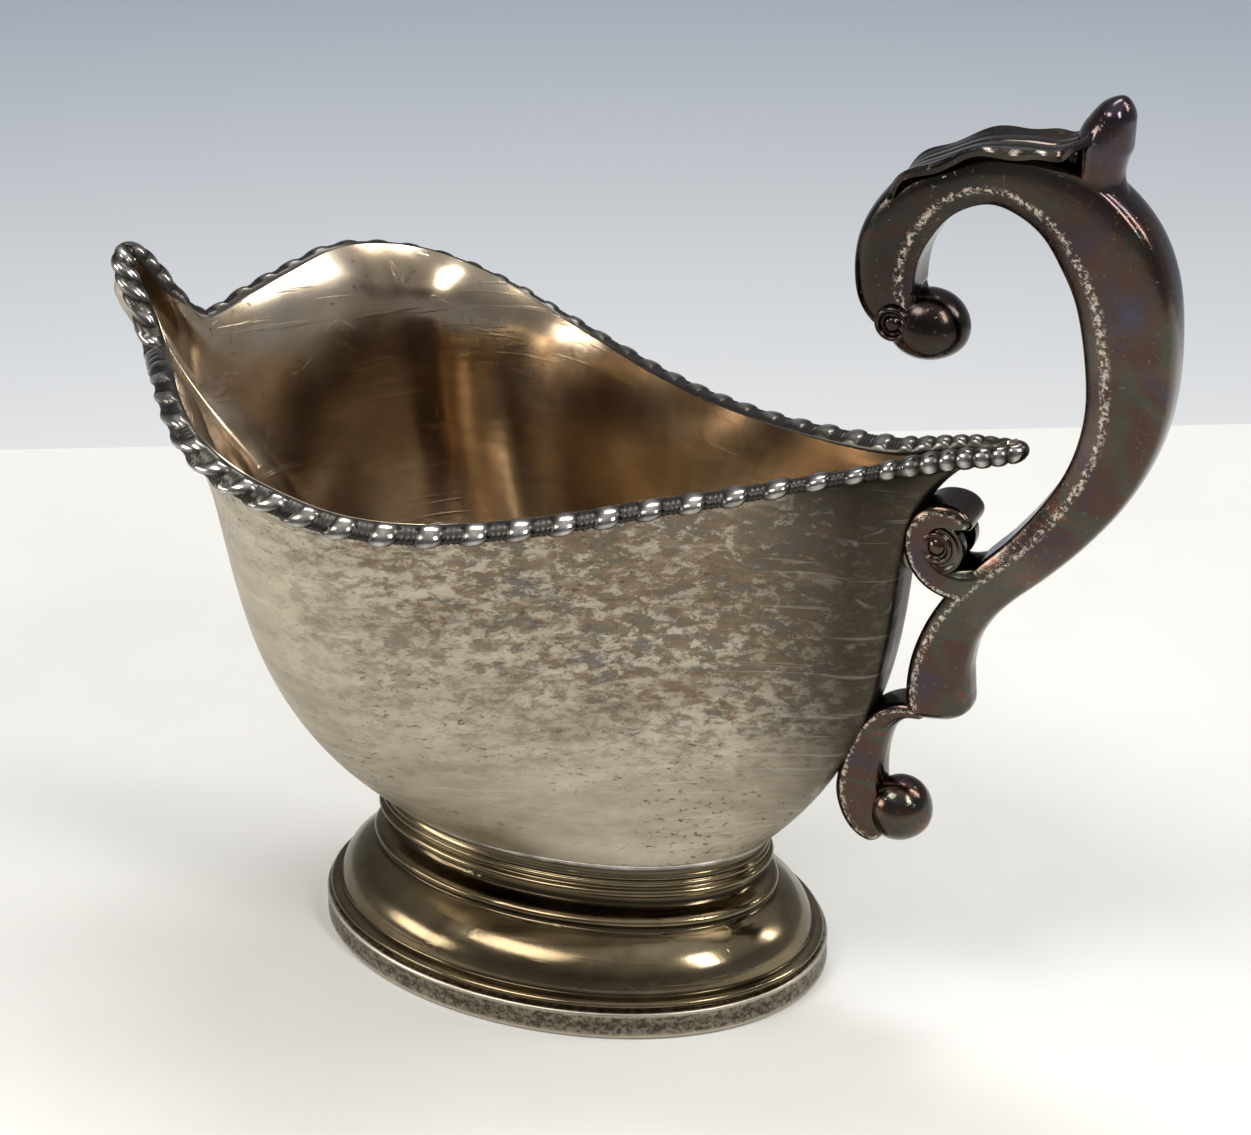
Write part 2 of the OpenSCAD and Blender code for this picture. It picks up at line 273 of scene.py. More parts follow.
def build_oval(name, outside, inside, per=6):
    """A hollow oval shell from its outer profile (upward) and inner profile (downward)."""
    m = 224
    out = dense(outside, per)
    inn = np.array(inside, float)
    prof = np.vstack([out, inn])
    n = len(prof)
    # how far each point of the profile stands proud of its neighbours, for worn edges
    k = 5
    proud = np.zeros(n)
    for i in range(len(out)):
        lo, hi = out[max(0, i - k)], out[min(len(out) - 1, i + k)]
        t = unit(hi - lo)
        proud[i] = np.dot(out[i] - (lo + hi) / 2, np.array([t[1], -t[0]]))
    ang = 2 * np.pi * np.arange(m) / m
    verts, wear = [], []
    for (a, z), w in zip(prof, proud):
        verts.append(np.column_stack([a * np.cos(ang), oval_b(a) * np.sin(ang), np.full(m, z)]))
        wear.append(np.full(m, w))
    faces = ring_faces(n, m, caps=False)
    last = (n - 1) * m
    faces += [(last + j, last + (j + 1) % m, (j + 1) % m, j) for j in range(m)]
    return make(name, np.vstack(verts), faces, 55, {"wear": np.concatenate(wear)})


def build_foot():
    skirt = build_oval("foot_skirt", [
        (45.2, 0), (45.75, 0.15), (45.98, 0.6), (45.95, 1.6), (45.85, 2.8), (45.95, 4.0), (45.98, 4.6),
        (45.8, 5.0), (45.3, 5.1)], [(43.8, 5.0), (43.8, 0)], 4)
    dome = build_oval("foot_dome", [
        (45.0, 4.6), (44.9, 5.1), (45.0, 5.5), (45.25, 5.8), (45.2, 6.25), (44.75, 6.6), (44.2, 6.7),
        (43.7, 6.75), (43.45, 7.1), (43.2, 8.0), (42.7, 9.4), (41.7, 11.1), (40.2, 12.7), (38.5, 13.9),
        (37.2, 14.6), (36.8, 15.1), (37.0, 15.6), (37.3, 16.1), (37.2, 16.7), (36.6, 17.2), (35.6, 17.6),
        (34.7, 18.1), (34.2, 18.9), (34.1, 19.8), (34.4, 20.6)],
        [(32.9, 20.6), (32.8, 18.6), (33.4, 17), (35.4, 15.6), (36, 14.2), (38.8, 12), (41.2, 9.4),
         (41.9, 7), (43.4, 5.6), (43.6, 4.6)], 5)
    collar = build_oval("foot_neck_ring", [
        (34.3, 20.2), (35.1, 20.5), (36.0, 20.9), (36.4, 21.5), (36.2, 22.1), (35.7, 22.4), (35.5, 22.7),
        (35.75, 23.0), (35.7, 23.4), (35.4, 23.7), (35.5, 24.0), (35.65, 24.3), (35.5, 24.7),
        (35.3, 25.1), (35.4, 25.8), (35.7, 26.5)], [(32.9, 26.5), (32.9, 20.2)], 5)
    solder = build_oval("foot_solder_line", [
        (34.8, 25.7), (35.6, 25.9), (36.1, 26.3), (36.35, 26.8), (36.2, 27.2), (35.6, 27.3)],
        [(33.8, 27.2), (33.8, 25.8)], 4)
    return skirt, dome, collar, solder


# ---------------------------------------------------------------- handle
def chaikin(poly, times):
    """Rounds a closed polygon by cutting its corners."""
    for _ in range(times):
        nxt = np.roll(poly, -1, axis=0)
        cut = np.stack([0.75 * poly + 0.25 * nxt, 0.25 * poly + 0.75 * nxt], 1)
        poly = cut.reshape(-1, poly.shape[1])
    return poly


def section(h, t, bevel, ridge):
    """A cast member's cross-section: in-plane and across, with a bevel on the ridge side.
    Ridge 0 gives a plain oval."""
    if ridge == 0:
        ang = np.linspace(0, 2 * np.pi, 80, endpoint=False)
        return np.column_stack([h * np.cos(ang), t * np.sin(ang), np.full(80, 0.15)])
    b = bevel
    half = [(-h, 0.5 * t), (-h, t - 0.40 * b - 0.7), (-h + 0.18, t - 0.40 * b - 0.1),
            (-h + b - 0.2, t - 0.05), (-h + b + 0.25, t + 0.06), (0.35 * h, t - 0.05),
            (h - 1.5, t - 0.45), (h - 0.45, t - 1.15), (h, t - 2.6), (h * 1.03, 0.25 * t)]
    half = [(n * (-ridge), y) for n, y in half]
    edge = [0.0, 0.3, 0.35, 1.0, 1.0, 0.0, 0.2, 0.5, 0.1, 0.0]
    pts = [(n, y, e) for (n, y), e in zip(half, edge)]
    pts += [(n, -y, e) for n, y, e in pts[::-1]]
    return chaikin(np.array(pts, float), 2)


def sweep(name, stations, ridge, bevel, steps, ends):
    """Sweeps the section along stations of x, z, half width in the plane, half thickness.
    Each end is rounded off over the length given for it in ends."""
    st = np.array(stations, float)
    u = np.linspace(0, 1, (len(st) - 1) * steps + 1)
    c = curve(st, u)
    d = unit(np.gradient(c[:, :2], axis=0))
    arc = np.concatenate([[0], np.cumsum(np.linalg.norm(np.diff(c[:, :2], axis=0), axis=1))])
    bev = np.interp(u, np.linspace(0, 1, len(bevel)), bevel)
    rings, edges = [], []
    for i in range(len(u)):
        x, z, h, t = c[i]
        grow = 1.0
        for reach, dist in ((ends[0], arc[i]), (ends[1], arc[-1] - arc[i])):
            if dist < reach:
                grow *= max(math.sqrt(max(1 - (1 - dist / reach) ** 2, 0)), 0.04)
        sec = section(h, t, min(bev[i], 1.2 * h), ridge)
        across = np.array([-d[i, 1], 0, d[i, 0]])
        n, y, e = sec.T
        pts = np.array([x, 0, z]) + np.outer(n * grow, across) + np.outer(y * grow, [0, 1, 0])
        rings.append(pts)
        edges.append(e)
    m = len(rings[0])
    verts = np.vstack(rings)
    faces = ring_faces(len(rings), m)
    f = faces[m * (len(rings) // 2)]
    mid = rings[len(rings) // 2].mean(0)
    nrm = np.cross(verts[f[1]] - verts[f[0]], verts[f[2]] - verts[f[0]])
    if nrm @ (verts[f[0]] - mid) < 0:
        faces = [g[::-1] for g in faces]
    return make(name, verts, faces, 40, {"edge": np.concatenate(edges)})


# Stations along each cast member: x, z, half width in the handle's plane, half thickness.
MAIN = [(56.5, 126.5, 4.2, 4.2), (54.4, 131, 4.9, 4.8), (54.9, 138.4, 5.2, 5), (58.6, 145, 4.9, 5),
        (64, 149.2, 4.1, 5), (70.4, 151.5, 4.2, 5), (77, 150.9, 5.1, 5.2), (83.4, 148.0, 6.4, 5.4),
        (88.4, 142.8, 7.3, 5.6), (91.6, 136.4, 7.4, 5.6), (93.2, 128, 7.0, 5.6), (93.6, 118.4, 6.4, 5.5),
        (92.2, 110.4, 5.8, 5.4), (89.2, 103, 5.2, 5.2), (84.6, 95.8, 4.7, 5), (79.4, 89.4, 4.3, 4.8),
        (74.6, 84.4, 4.1, 4.7), (70.8, 79.8, 4.1, 4.6), (67.7, 74.2, 4.3, 4.6), (66.0, 68.2, 4.7, 4.6),
        (65.8, 62.8, 5.1, 4.6), (66.2, 59.4, 4.9, 4.4), (66.5, 57, 3.2, 3.6)]
VOLUTE = [(78.6, 88.2, 2.4, 4.6), (73.8, 85.0, 2.9, 4.6), (69.2, 83.4, 3.1, 4.6), (65.0, 84.3, 3.0, 4.6),
          (62.4, 87.2, 2.8, 4.6), (62.0, 90.8, 2.8, 4.6), (64.2, 93.6, 2.7, 4.6), (67.4, 93.8, 2.6, 4.5),
          (68.7, 91.6, 2.4, 4.4)]
LOWER = [(63.6, 58, 1.6, 3.6), (59.6, 57.6, 1.8, 3.8), (56.2, 55, 2.5, 4), (54.2, 50.6, 3.0, 4.2),
         (53.2, 45.6, 3.5, 4.3), (53.2, 41, 3.9, 4.4), (55.2, 37, 4.0, 4.4), (58.6, 35.6, 3.4, 4.2)]
# The leaf's stations: x, z and half width across the boat.
LEAF = [(52.4, 141.0, 2.6), (54.2, 146.2, 4.6), (57.6, 150.8, 5.6), (62.4, 153.4, 5.9), (68, 156.0, 5.9),
        (74, 157.0, 6.0), (79.4, 157.2, 5.9), (83, 158.6, 5.4), (85.6, 161.0, 4.4), (87.2, 163.6, 3.0)]
# The thumb horn, as the cast members above.
HORN = [(85.4, 147.6, 8.2, 5.3), (85.9, 150.8, 5.6, 4.9), (86.3, 153.4, 3.8, 4.5), (86.5, 156.0, 3.8, 4.6),
        (86.9, 158.8, 4.2, 4.8), (87.7, 161.4, 3.6, 4.4), (88.6, 163.8, 2.7, 3.5), (89.3, 165.8, 1.7, 2.4)]


def ellipsoid(name, centre, radii, bumps, rings=40, around=64):
    """A closed ball of the given radii with a fixed pattern of soft dents."""
    verts = []
    for i in range(rings + 1):
        th = math.pi * (0.004 + 0.992 * i / rings)
        for j in range(around):
            ph = 2 * math.pi * j / around
            d = np.array([math.sin(th) * math.cos(ph), math.cos(th), math.sin(th) * math.sin(ph)])
            dent = 1 + bumps * math.sin(3.1 * d[0] + 1) * math.sin(2.7 * d[2]) * math.cos(2.3 * d[1])
            verts.append(np.array(centre) + d * np.array(radii) * dent)
    faces = [f[::-1] for f in ring_faces(rings + 1, around)]
    verts = np.array(verts)
    f = faces[around * (rings // 2)]
    nrm = np.cross(verts[f[1]] - verts[f[0]], verts[f[2]] - verts[f[0]])
    if nrm @ (verts[f[0]] - np.array(centre)) < 0:
        faces = [g[::-1] for g in faces]
    return make(name, verts, faces, None, {"edge": [0.1] * len(verts)})


def rosette(name, centre, profile, side):
    """A round raised eye turned about the across axis: profile of radius and height."""
    m = 48
    prof = dense(profile, 5)
    ang = 2 * np.pi * np.arange(m) / m
    verts = []
    for r, h in prof:
        verts.append(np.column_stack([centre[0] + r * np.cos(ang), np.full(m, centre[1] + side * h),
                                      centre[2] + r * np.sin(ang)]))
    verts = np.vstack(verts)
    tone = np.repeat(np.interp(prof[:, 1], [prof[:, 1].min(), prof[:, 1].max()], [0, 0.8]), m)
    return verts, ring_faces(len(prof), m), tone


def pair_of_eyes(name, x, z, reach, profile):
    all_v, all_f, all_t, base = [], [], [], 0
    for side in (-1, 1):
        v, f, t = rosette(name, (x, side * reach, z), profile, side)
        if side > 0:
            f = [g[::-1] for g in f]
        all_v.append(v)
        all_f += [tuple(i + base for i in g) for g in f]
        all_t.append(t)
        base += len(v)
    return make(name, np.vstack(all_v), all_f, 40, {"edge": np.concatenate(all_t)})


def build_leaf():
    """A thin acanthus leaf along x, z, half width, with dished middle and curled, wavy edges."""
    nu, nv = 150, 44
    u = np.linspace(0, 1, nu + 1)
    c = curve(np.array(LEAF, float), u)
    d = unit(np.gradient(c[:, :2], axis=0))
    up = np.column_stack([-d[:, 1], np.zeros(nu + 1), d[:, 0]])
    v = np.linspace(-1, 1, nv + 1)
    fade = smooth(u / 0.12) * (1 - 0.75 * smooth((u - 0.72) / 0.2))
    ruffle = np.sin(2 * np.pi * (5.2 * u + 0.18 * np.sin(9 * u)))
    layers, tone = [], []
    for face in (1, -1):
        rows, marks = [], []
        order = v if face > 0 else v[::-1]
        for i in range(nu + 1):
            a = np.abs(order)
            edge = a ** 4
            wave = ruffle[i] * edge * fade[i]
            lift = 0.75 * edge - 0.9 * np.clip(a - 0.86, 0, 1) / 0.14 + 0.42 * wave
            vein = -0.28 * np.exp(-(order / 0.06) ** 2) - 0.14 * np.exp(-((a - 0.45) / 0.05) ** 2)
            thick = 1.5 - 0.75 * a ** 2
            half = c[i, 2] * math.sqrt(max(1 - (1 - min(u[i] / 0.05, (1 - u[i]) / 0.02, 1)) ** 2, 0.01))
            y = order * half * (1 + 0.055 * wave)
            off = lift + (vein if face > 0 else -thick)
            rows.append(np.array([c[i, 0], 0, c[i, 1]]) + np.outer(off, up[i]) + np.outer(y, [0, 1, 0]))
            marks.append(0.15 + 0.75 * np.exp(-((a - 0.9) / 0.09) ** 2))
        layers.append(np.array(rows))
        tone.append(np.array(marks))
    verts = np.concatenate(layers, axis=1)
    m = verts.shape[1]
    faces = ring_faces(nu + 1, m)
    flat = verts.reshape(-1, 3)
    f = faces[m * (nu // 2) + nv // 2]
    nrm = np.cross(flat[f[1]] - flat[f[0]], flat[f[2]] - flat[f[0]])
    if nrm[2] < 0:
        faces = [g[::-1] for g in faces]
    return make("handle_acanthus", flat, faces, 40, {"edge": np.concatenate(tone, axis=1)})


def build_handle():
    """Every cast member of the handle and both solder fillets, by a short key."""
    out = {}
    bevels = [1.5, 2.4, 3.0, 3.2, 3.4, 3.6, 3.4, 2.8, 2.2, 1.6, 1.2, 1.0]
    out["main"] = sweep("handle_arc", MAIN, -1, bevels, 12, (1, 3.2))
    out["volute"] = sweep("handle_volute", VOLUTE, 1, [0.9, 1.0, 1.1, 1.0], 14, (1, 2.0))
    out["lower"] = sweep("handle_c_scroll", LOWER, -1, [0.9, 1.0, 1.1, 1.1], 14, (1, 2.5))
    out["leaf"] = build_leaf()
    out["horn"] = sweep("handle_thumb_tip", HORN, 0, [1.2, 1.2, 1.2], 14, (0.2, 2.6))
    out["knob"] = ellipsoid("handle_curl_knob", (60.8, 0, 125.3), (6.6, 5.8, 5.7), 0.03)
    out["ball"] = ellipsoid("handle_foot_ball", (59.4, 0, 38.2), (5.5, 5.5, 5.6), 0.03)
    ring = [(2.9, -0.8), (2.9, 0.2), (2.6, 0.7), (2.2, 0.75), (1.9, 0.35), (1.6, 0.1), (1.3, 0.3),
            (0.9, 0.75), (0.45, 0.9), (0.1, 0.92)]
    out["top_eyes"] = pair_of_eyes("curl_eyes", 56.4, 126.4, 4.7, ring)
    wide = [(4.6, -1.6), (4.6, 0.2), (4.3, 0.5), (3.4, 0.1), (2.9, 0.15), (2.6, 0.6), (2.2, 0.7),
            (1.9, 0.3), (1.6, 0.0), (1.2, 0.3), (0.7, 0.6), (0.1, 0.7)]
    out["volute_eyes"] = pair_of_eyes("volute_eyes", 64.8, 89.2, 3.9, wide)
    out["solder_up"] = ellipsoid("solder_at_volute", (59.8, 0, 88), (3.2, 3.6, 5.4), 0.08)
    out["solder_low"] = ellipsoid("solder_at_scroll", (51.4, 0, 46.6), (2.9, 3.6, 5.8), 0.08)
    return out


# ---------------------------------------------------------------- materials
class Nodes:
    """Short calls for building one node material."""

    def __init__(self, name):
        self.mat = bpy.data.materials.new(name)
        self.mat.use_nodes = True
        self.tree = self.mat.node_tree
        self.tree.nodes.clear()
        self.out = self.tree.nodes.new("ShaderNodeOutputMaterial")
        self.bsdf = self.tree.nodes.new("ShaderNodeBsdfPrincipled")
        self.tree.links.new(self.bsdf.outputs[0], self.out.inputs[0])
        self.coord = self.tree.nodes.new("ShaderNodeTexCoord").outputs["Object"]

    def put(self, socket, value):
        if isinstance(value, bpy.types.NodeSocket):
            self.tree.links.new(value, socket)
        elif isinstance(value, (tuple, list)) and len(value) == 3 and socket.type == "RGBA":
            socket.default_value = (*value, 1)
        else:
            socket.default_value = value

    def noise(self, scale, detail=4, rough=0.5, stretch=(1, 1, 1), distort=0.0, offset=(0, 0, 0)):
        m = self.tree.nodes.new("ShaderNodeMapping")
        m.inputs["Scale"].default_value = stretch
        m.inputs["Location"].default_value = offset
        self.tree.links.new(self.coord, m.inputs["Vector"])
        n = self.tree.nodes.new("ShaderNodeTexNoise")
        n.inputs["Scale"].default_value = scale
        n.inputs["Detail"].default_value = detail
        n.inputs["Roughness"].default_value = rough
        n.inputs["Distortion"].default_value = distort
        self.tree.links.new(m.outputs[0], n.inputs["Vector"])
        return n.outputs["Fac"]

    def ramp(self, fac, stops):
        r = self.tree.nodes.new("ShaderNodeValToRGB")
        el = r.color_ramp.elements
        while len(el) < len(stops):
            el.new(0.5)
        for e, (pos, col) in zip(el, stops):
            e.position = pos
            e.color = (*col, 1) if isinstance(col, tuple) else (col, col, col, 1)
        self.put(r.inputs[0], fac)
        return r.outputs[0]

    def mix(self, fac, a, b):
        n = self.tree.nodes.new("ShaderNodeMix")
        n.data_type = "RGBA"
        self.put(n.inputs[0], fac)
        self.put(n.inputs[6], a)
        self.put(n.inputs[7], b)
        return n.outputs[2]

    def math(self, op, a, b=0.0, clamp=False):
        n = self.tree.nodes.new("ShaderNodeMath")
        n.operation = op
        n.use_clamp = clamp
        self.put(n.inputs[0], a)
        self.put(n.inputs[1], b)
        return n.outputs[0]

    def axis(self, which, low, high):
        """0 to 1 as the object's coordinate runs from low to high, in metres."""
        s = self.tree.nodes.new("ShaderNodeSeparateXYZ")
        self.tree.links.new(self.coord, s.inputs[0])
        r = self.tree.nodes.new("ShaderNodeMapRange")
        r.inputs["From Min"].default_value = low
        r.inputs["From Max"].default_value = high
        self.tree.links.new(s.outputs[which], r.inputs["Value"])
        return r.outputs[0]

    def attr(self, name):
        a = self.tree.nodes.new("ShaderNodeAttribute")
        a.attribute_name = name
        return a.outputs["Fac"]

    def bump(self, height, strength, distance, normal=None):
        b = self.tree.nodes.new("ShaderNodeBump")
        b.inputs["Strength"].default_value = strength
        b.inputs["Distance"].default_value = distance
        self.tree.links.new(height, b.inputs["Height"])
        if normal is not None:
            self.tree.links.new(normal, b.inputs["Normal"])
        return b.outputs[0]

    def finish(self, color, rough, normal=None, metallic=1.0):
        self.put(self.bsdf.inputs["Base Color"], color)
        self.put(self.bsdf.inputs["Roughness"], rough)
        self.bsdf.inputs["Metallic"].default_value = metallic
        if normal is not None:
            self.tree.links.new(normal, self.bsdf.inputs["Normal"])
        return self.mat


def scratches(n, seed):
    """Thin crossing scratches from stretched noise, as a height."""
    a = n.noise(900, 2, 0.5, (0.05, 0.05, 1), 0.5, (seed, 0, 0))
    b = n.noise(900, 2, 0.5, (0.12, 0.3, 0.25), 0.8, (0, seed, 0))
    return n.math("ADD", n.ramp(a, [(0.60, 0.0), (0.68, 1.0)]), n.ramp(b, [(0.64, 0.0), (0.70, 1.0)]))


def plate_outside():
    n = Nodes("plate_outside")
    warm, pale = (0.33, 0.285, 0.215), (0.53, 0.475, 0.375)
    streak = n.noise(42, 10, 0.7, (1, 1, 2.6), 0.2)
    base = n.mix(n.ramp(streak, [(0.36, 0.0), (0.64, 1.0)]), warm, pale)
    # brown and coloured tarnish towards the handle and under the border
    near_handle = n.math("MULTIPLY", n.axis(0, -0.045, 0.050), n.axis(2, 0.040, 0.092), True)
    blotch = n.noise(330, 10, 0.74, (1, 1, 1.8), 0.2, (3, 1, 2))
    patches = n.ramp(blotch, [(0.42, 0.25), (0.56, 1.7)])
    mask = n.ramp(n.math("MULTIPLY", n.math("ADD", near_handle, 0.06), patches),
                  [(0.14, 0.0), (0.56, 0.80)])
    tint = n.ramp(n.noise(160, 8, 0.7, (1, 1, 1.8), 0.3, (7, 2, 5)),
                  [(0.34, (0.105, 0.102, 0.118)), (0.45, (0.092, 0.074, 0.052)),
                   (0.55, (0.16, 0.098, 0.055)), (0.66, (0.22, 0.20, 0.16))])
    base = n.mix(mask, base, tint)
    # darker still, almost black, towards the bowl's end by the handle
    end = n.axis(0, 0.034, 0.052)
    base = n.mix(n.math("MULTIPLY", end, 0.9), base, (0.040, 0.033, 0.024))
    pits = n.ramp(n.noise(620, 5, 0.7, (1, 1, 2.2), 0.2, (1, 5, 0)), [(0.585, 0.0), (0.64, 1.0)])
    cluster = n.ramp(n.noise(36, 4, 0.6, (1, 1, 1.6), 0.3, (9, 1, 4)), [(0.43, 0.0), (0.58, 1.0)])
    pit = n.math("MULTIPLY", pits, cluster)
    base = n.mix(n.math("MULTIPLY", pit, 0.8), base, (0.07, 0.055, 0.05))
    marks = scratches(n, 2.0)
    base = n.mix(n.math("MULTIPLY", marks, 0.12, True), base, (0.72, 0.68, 0.60))
    rough = n.ramp(n.noise(60, 6, 0.6, (1, 1, 2), 0.4, (4, 4, 1)), [(0.3, 0.34), (0.7, 0.50)])
    height = n.math("SUBTRACT", n.math("MULTIPLY", marks, 0.4), pit)
    normal = n.bump(height, 0.35, 0.0002, n.bump(n.noise(28, 4, 0.5, (1, 1, 1.6)), 0.08, 0.0012))
    return n.finish(base, rough, normal)


def plate_inside():
    n = Nodes("plate_inside")
    gold, brown, grey = (0.64, 0.53, 0.38), (0.29, 0.215, 0.15), (0.50, 0.45, 0.38)
    cloud = n.noise(24, 7, 0.62, (1, 1, 1.3), 0.8, (2, 2, 2))
    base = n.ramp(cloud, [(0.34, brown), (0.52, (0.45, 0.36, 0.255)), (0.66, gold)])
    film = n.ramp(n.noise(55, 5, 0.6, (1, 1, 1), 0.5, (8, 1, 1)), [(0.50, 0.0), (0.68, 0.6)])
    base = n.mix(film, base, grey)
    speck = n.ramp(n.noise(500, 4, 0.7, (1, 1, 1), 0.2, (0, 3, 6)), [(0.62, 0.0), (0.72, 0.7)])
    upper = n.axis(2, 0.070, 0.100)
    base = n.mix(n.math("MULTIPLY", speck, upper), base, (0.10, 0.07, 0.05))
    rough = n.ramp(n.noise(40, 5, 0.6, (1, 1, 1), 0.2, (5, 5, 5)), [(0.3, 0.13), (0.7, 0.27)])
    normal = n.bump(scratches(n, 5.0), 0.12, 0.0002, n.bump(n.noise(20, 3, 0.5), 0.12, 0.0015))
    return n.finish(base, rough, normal)


def gadroon_metal():
    n = Nodes("gadroon_metal")
    g = n.attr("groove")
    # painted highlight: each lobe's crown is painted pale from its relief height, and the rest of the strip
    # is dark
    painted_lobe_highlight = n.ramp(g, [(0.36, (0.030, 0.027, 0.024)), (0.66, (0.085, 0.078, 0.070)),
                     (0.86, (0.24, 0.225, 0.205)), (1.0, (0.50, 0.48, 0.445))])
    grime = n.ramp(n.noise(300, 5, 0.7), [(0.40, 0.0), (0.62, 0.7)])
    base = n.mix(n.math("MULTIPLY", grime, 0.7), painted_lobe_highlight, (0.045, 0.040, 0.036))
    rough = n.ramp(g, [(0.35, 0.42), (0.9, 0.17)])
    normal = n.bump(n.noise(700, 4, 0.6), 0.18, 0.0002)
    return n.finish(base, rough, normal)


def foot_metal(name, skirt=False):
    n = Nodes(name)
    olive, dark, pale = (0.17, 0.135, 0.080), (0.095, 0.072, 0.042), (0.25, 0.205, 0.135)
    cloud = n.noise(34, 7, 0.62, (1, 1, 1.5), 0.7, (4, 0, 2))
    base = n.ramp(cloud, [(0.34, dark), (0.52, olive), (0.70, pale)])
    if skirt:
        speck = n.ramp(n.noise(900, 6, 0.75, (1, 1, 1.2), 0.3, (2, 9, 1)), [(0.44, 0.0), (0.58, 1.0)])
        base = n.mix(speck, (0.07, 0.055, 0.04), (0.26, 0.225, 0.175))
    worn = n.ramp(n.math("ADD", n.attr("wear"), n.math("MULTIPLY", n.noise(240, 5, 0.7), 0.10)),
                  [(0.14, 0.0), (0.30, 0.9)] if skirt else [(0.36, 0.0), (0.56, 0.9)])
    base = n.mix(worn, base, (0.52, 0.47, 0.38))
    hollow = n.ramp(n.math("MULTIPLY", n.attr("wear"), -1.0), [(0.05, 0.0), (0.22, 0.85)])
    base = n.mix(hollow, base, (0.05, 0.038, 0.022))
    lo, hi = (0.28, 0.44) if skirt else (0.12, 0.24)
    rough = n.ramp(n.noise(50, 5, 0.6, (1, 1, 1), 0.2, (1, 5, 3)), [(0.3, lo), (0.7, hi)])
    grain = n.noise(420, 5, 0.7, (1, 1, 1.2), 0.3)
    normal = n.bump(grain, 0.35 if skirt else 0.08, 0.0002, n.bump(scratches(n, 7.0), 0.10, 0.0002))
    return n.finish(base, rough, normal)


def handle_metal():
    n = Nodes("handle_metal")
    base = n.ramp(n.noise(60, 6, 0.6, (1, 1, 1), 0.8, (3, 3, 3)), [
        (0.30, (0.058, 0.056, 0.088)), (0.40, (0.062, 0.047, 0.054)), (0.49, (0.080, 0.048, 0.036)),
        (0.57, (0.062, 0.066, 0.054)), (0.65, (0.125, 0.058, 0.038)), (0.74, (0.080, 0.095, 0.105))])
    haze = n.ramp(n.noise(26, 4, 0.5, (1, 1, 1), 0.5, (1, 8, 2)), [(0.46, 0.0), (0.68, 0.55)])
    base = n.mix(haze, base, (0.15, 0.13, 0.11))
    # the curl at the top left is almost black
    black = n.math("MULTIPLY", n.math("SUBTRACT", 1.0, n.axis(0, 0.068, 0.090)), n.axis(2, 0.112, 0.125))
    base = n.mix(n.math("MULTIPLY", black, 0.7), base, (0.022, 0.018, 0.017))
    edge = n.attr("edge")
    flake = n.noise(1300, 6, 0.75, (1, 1, 1), 0.3, (6, 2, 1))
    flakes = n.ramp(flake, [(0.46, 0.0), (0.56, 1.0)])
    worn = n.ramp(n.math("MULTIPLY", n.math("POWER", edge, 5.0), flakes), [(0.34, 0.0), (0.70, 1.0)])
    base = n.mix(worn, base, (0.46, 0.40, 0.33))
    pit = n.ramp(n.noise(1100, 5, 0.7, (1, 1, 1), 0.2, (2, 2, 9)), [(0.62, 0.0), (0.70, 1.0)])
    base = n.mix(n.math("MULTIPLY", pit, 0.5), base, (0.28, 0.25, 0.21))
    rough = n.ramp(n.noise(90, 6, 0.65, (1, 1, 1), 0.3, (2, 6, 2)), [(0.32, 0.09), (0.68, 0.21)])
    normal = n.bump(n.math("SUBTRACT", n.noise(500, 5, 0.7), pit), 0.16, 0.0003,
                    n.bump(n.noise(60, 3, 0.5), 0.10, 0.0012))
    return n.finish(base, rough, normal)


def solder_metal():
    n = Nodes("solder_metal")
    base = n.ramp(n.noise(160, 6, 0.65), [(0.35, (0.20, 0.18, 0.16)), (0.65, (0.50, 0.47, 0.43))])
    rough = n.ramp(n.noise(120, 4, 0.6), [(0.3, 0.35), (0.7, 0.55)])
    return n.finish(base, rough, n.bump(n.noise(260, 4, 0.6), 0.4, 0.0004))


# ---------------------------------------------------------------- build
def dress(obj, mat, slot_name, *nodes):
    obj.data.materials.clear()
    obj.data.materials.append(mat)
    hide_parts(*nodes)


bowl, face_kind = build_bowl()
dress(bowl, plate_outside(), "plate_silver", "bowl")
bowl.data.materials.append(plate_inside())
bowl.data.polygons.foreach_set("material_index", face_kind)
gadroon = gadroon_metal()
for side, name, node in ((1, "gadroon_left", "border_left"), (-1, "gadroon_right", "border_right")):
    dress(build_border(side, name), gadroon, "gadroon_silver", node)
skirt, dome, collar, solder_line = build_foot()
olive = foot_metal("foot_metal")
dress(skirt, foot_metal("skirt_metal", True), "foot_silver", "foot_rim")
dress(dome, olive, "foot_silver", "foot_pedestal")
dress(collar, olive, "foot_silver", "foot_collar")
solder = solder_metal()
dress(solder_line, solder, "solder", "solder_foot")
parts = build_handle()
dark = handle_metal()
for key, *nodes in (("main", "handle_main_scroll", "handle_s_scroll"), ("volute", "handle_upper_volute"),
                    ("lower", "handle_lower_scroll"), ("leaf", "handle_leaf"), ("horn", "handle_thumb_horn"),
                    ("knob", "handle_top_knob"), ("ball", "handle_lower_ball"), ("top_eyes", "top_rosettes"),
                    ("volute_eyes", "volute_rosettes")):
    dress(parts[key], dark, "handle_silver", *nodes)
dress(parts["solder_up"], solder, "solder", "solder_upper")
dress(parts["solder_low"], solder, "solder", "solder_lower")


# ---------------------------------------------------------------- stage, light, camera
# The table's back edge in metres, which runs a little askew behind the boat.
BACK = [(-1.5, -0.498), (1.5, 0.960)]


